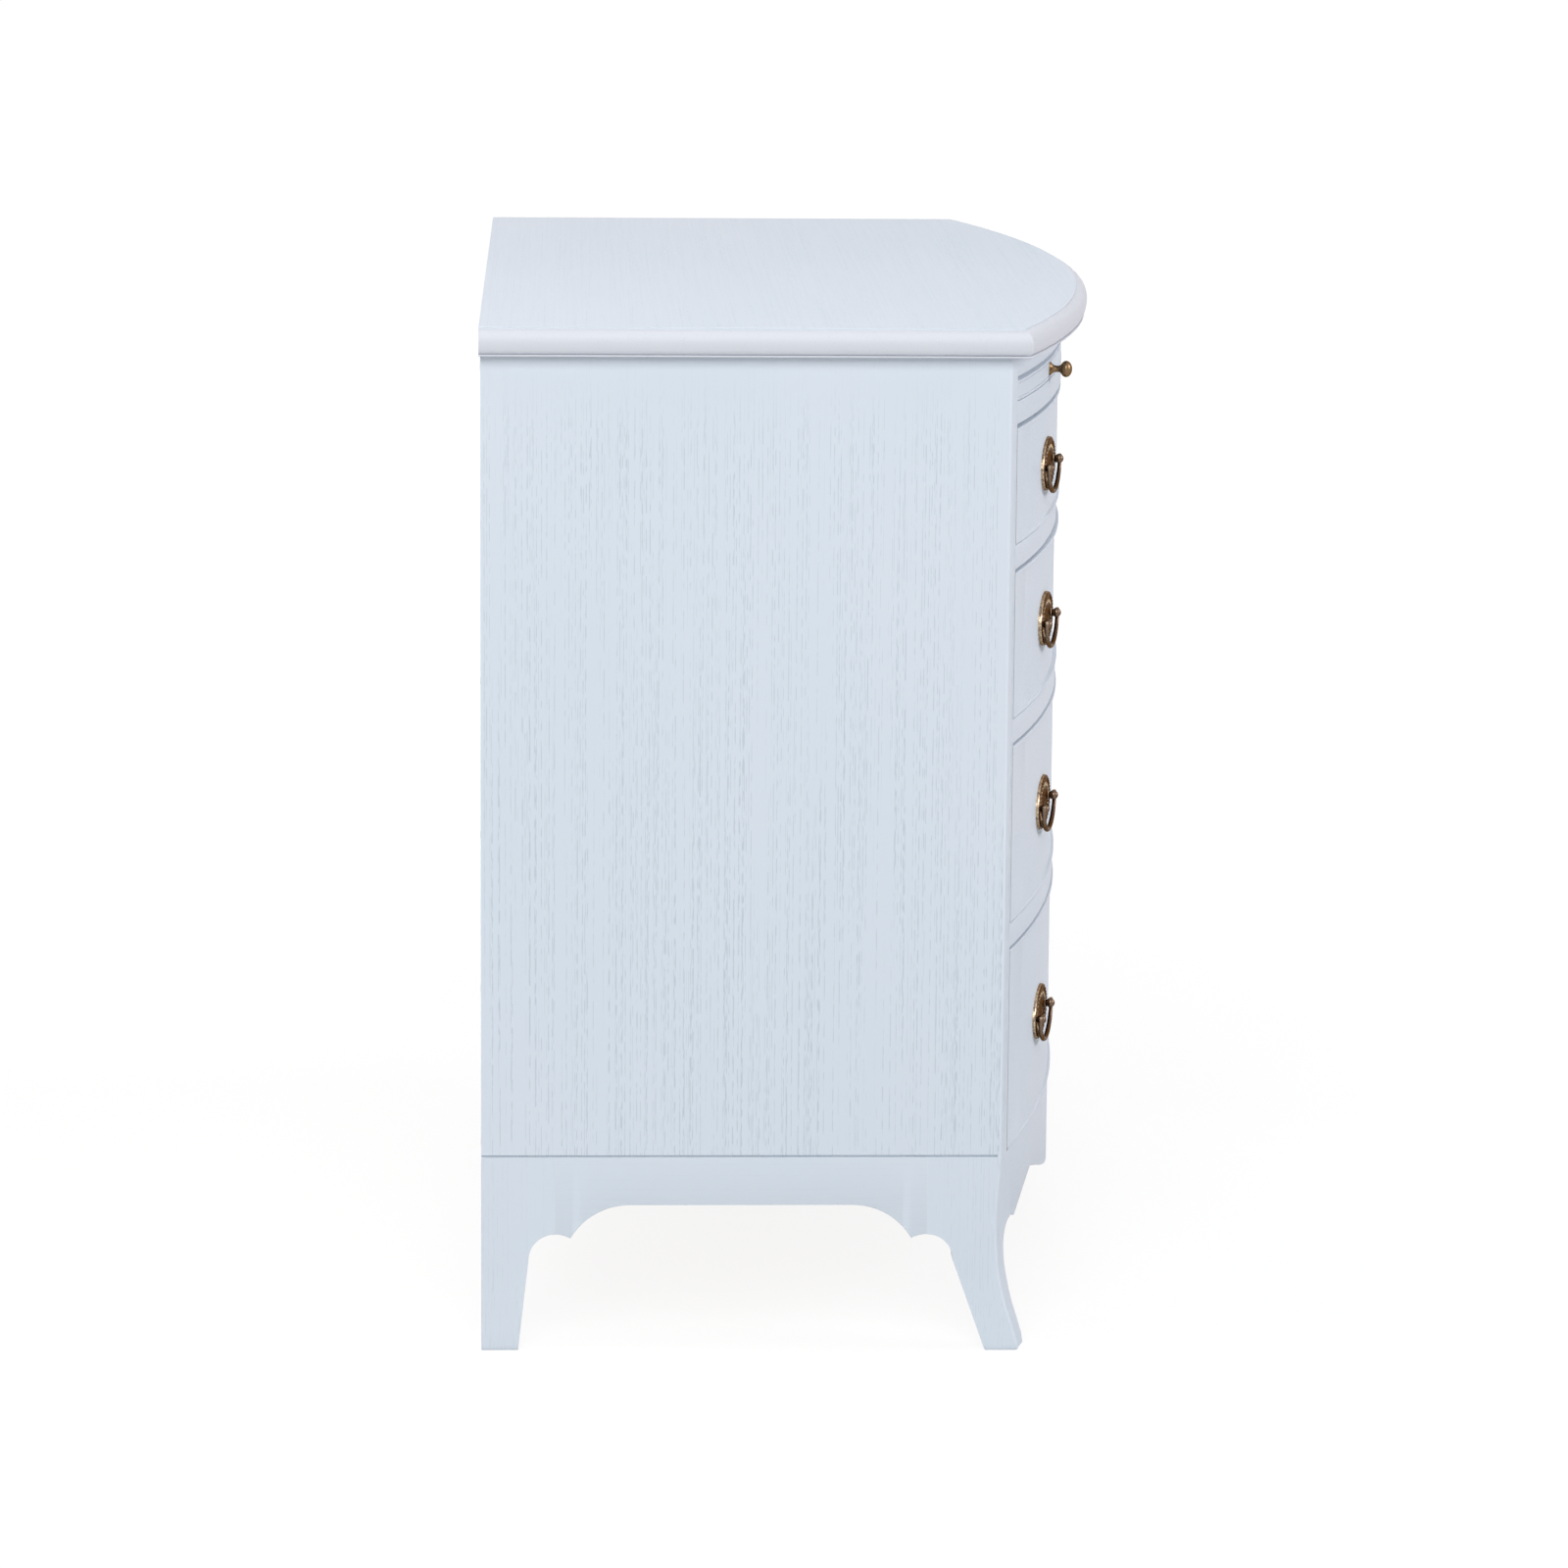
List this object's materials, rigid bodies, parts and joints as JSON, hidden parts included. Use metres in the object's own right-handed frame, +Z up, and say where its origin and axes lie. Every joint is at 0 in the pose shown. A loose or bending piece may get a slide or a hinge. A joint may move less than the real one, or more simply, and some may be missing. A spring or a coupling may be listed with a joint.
{
  "type": "chest of drawers",
  "caption": "Bow front chest of drawers in painted oak with graduated drawers, a pull-out slide under a moulded top, oval bail pulls and splayed bracket feet.",
  "frame": {"origin": "on the floor, in the middle of the overall footprint", "axes": "+X along the front to the viewer's right, -Y out of the bowed front, +Z up"},
  "size_m": [1.067, 0.565, 0.9144],
  "materials": {
    "painted_oak": "thin pale blue-grey satin paint over open-grained oak",
    "drawer_wood": "bare sanded hardwood",
    "plywood": "bare plywood",
    "antique_brass": "dark antique brass, rubbed brighter on the high spots"
  },
  "bodies": {
    "case": {"top": "painted_oak", "frieze_rail": "painted_oak", "rail_under_slide": "painted_oak", "rail_1": "painted_oak", "rail_2": "painted_oak", "rail_3": "painted_oak", "slide_bed": "plywood", "dust_board_1": "plywood", "dust_board_2": "plywood", "dust_board_3": "plywood", "side_panel_right": "painted_oak", "side_panel_left": "painted_oak", "back_panel": "plywood", "bottom_board": "plywood", "side_apron_right": "painted_oak", "side_apron_left": "painted_oak", "front_apron": "painted_oak", "front_foot_right": "painted_oak", "front_foot_left": "painted_oak", "back_foot_right": "painted_oak", "back_foot_left": "painted_oak"},
    "slide": {"slide_board": "painted_oak", "slide_knob_right": "antique_brass", "slide_knob_left": "antique_brass"},
    "drawer_1": {"drawer_1_front": "painted_oak", "drawer_1_side_right": "drawer_wood", "drawer_1_side_left": "drawer_wood", "drawer_1_back": "drawer_wood", "drawer_1_bottom": "plywood", "drawer_1_plate_right": "antique_brass", "drawer_1_plate_left": "antique_brass"},
    "drawer_1_bail_right": {"drawer_1_bail_right": "antique_brass"},
    "drawer_1_bail_left": {"drawer_1_bail_left": "antique_brass"},
    "drawer_2": {"drawer_2_front": "painted_oak", "drawer_2_side_right": "drawer_wood", "drawer_2_side_left": "drawer_wood", "drawer_2_back": "drawer_wood", "drawer_2_bottom": "plywood", "drawer_2_plate_right": "antique_brass", "drawer_2_plate_left": "antique_brass"},
    "drawer_2_bail_right": {"drawer_2_bail_right": "antique_brass"},
    "drawer_2_bail_left": {"drawer_2_bail_left": "antique_brass"},
    "drawer_3": {"drawer_3_front": "painted_oak", "drawer_3_side_right": "drawer_wood", "drawer_3_side_left": "drawer_wood", "drawer_3_back": "drawer_wood", "drawer_3_bottom": "plywood", "drawer_3_plate_right": "antique_brass", "drawer_3_plate_left": "antique_brass"},
    "drawer_3_bail_right": {"drawer_3_bail_right": "antique_brass"},
    "drawer_3_bail_left": {"drawer_3_bail_left": "antique_brass"},
    "drawer_4": {"drawer_4_front": "painted_oak", "drawer_4_side_right": "drawer_wood", "drawer_4_side_left": "drawer_wood", "drawer_4_back": "drawer_wood", "drawer_4_bottom": "plywood", "drawer_4_plate_right": "antique_brass", "drawer_4_plate_left": "antique_brass"},
    "drawer_4_bail_right": {"drawer_4_bail_right": "antique_brass"},
    "drawer_4_bail_left": {"drawer_4_bail_left": "antique_brass"}
  },
  "joints": [
    {"name": "slide_pull_out", "type": "slide", "parent": "case", "child": "slide", "axis": [0, -1, 0], "range_m": [0, 0.25]},
    {"name": "drawer_1_slide", "type": "slide", "parent": "case", "child": "drawer_1", "axis": [0, -1, 0], "range_m": [0, 0.34]},
    {"name": "drawer_1_bail_right_hinge", "type": "hinge", "parent": "drawer_1", "child": "drawer_1_bail_right", "pos_m": [0.32867, -0.23371, 0.77167], "axis": [-0.9825, -0.1861, 0], "range_deg": [0, 110]},
    {"name": "drawer_1_bail_left_hinge", "type": "hinge", "parent": "drawer_1", "child": "drawer_1_bail_left", "pos_m": [-0.32867, -0.23371, 0.77167], "axis": [-0.9825, 0.1861, 0], "range_deg": [0, 110]},
    {"name": "drawer_2_slide", "type": "slide", "parent": "case", "child": "drawer_2", "axis": [0, -1, 0], "range_m": [0, 0.34]},
    {"name": "drawer_2_bail_right_hinge", "type": "hinge", "parent": "drawer_2", "child": "drawer_2_bail_right", "pos_m": [0.32867, -0.23371, 0.63021], "axis": [-0.9825, -0.1861, 0], "range_deg": [0, 110]},
    {"name": "drawer_2_bail_left_hinge", "type": "hinge", "parent": "drawer_2", "child": "drawer_2_bail_left", "pos_m": [-0.32867, -0.23371, 0.63021], "axis": [-0.9825, 0.1861, 0], "range_deg": [0, 110]},
    {"name": "drawer_3_slide", "type": "slide", "parent": "case", "child": "drawer_3", "axis": [0, -1, 0], "range_m": [0, 0.34]},
    {"name": "drawer_3_bail_right_hinge", "type": "hinge", "parent": "drawer_3", "child": "drawer_3_bail_right", "pos_m": [0.32867, -0.23371, 0.46101], "axis": [-0.9825, -0.1861, 0], "range_deg": [0, 110]},
    {"name": "drawer_3_bail_left_hinge", "type": "hinge", "parent": "drawer_3", "child": "drawer_3_bail_left", "pos_m": [-0.32867, -0.23371, 0.46101], "axis": [-0.9825, 0.1861, 0], "range_deg": [0, 110]},
    {"name": "drawer_4_slide", "type": "slide", "parent": "case", "child": "drawer_4", "axis": [0, -1, 0], "range_m": [0, 0.34]},
    {"name": "drawer_4_bail_right_hinge", "type": "hinge", "parent": "drawer_4", "child": "drawer_4_bail_right", "pos_m": [0.32867, -0.23371, 0.26576], "axis": [-0.9825, -0.1861, 0], "range_deg": [0, 110]},
    {"name": "drawer_4_bail_left_hinge", "type": "hinge", "parent": "drawer_4", "child": "drawer_4_bail_left", "pos_m": [-0.32867, -0.23371, 0.26576], "axis": [-0.9825, 0.1861, 0], "range_deg": [0, 110]}
  ]
}
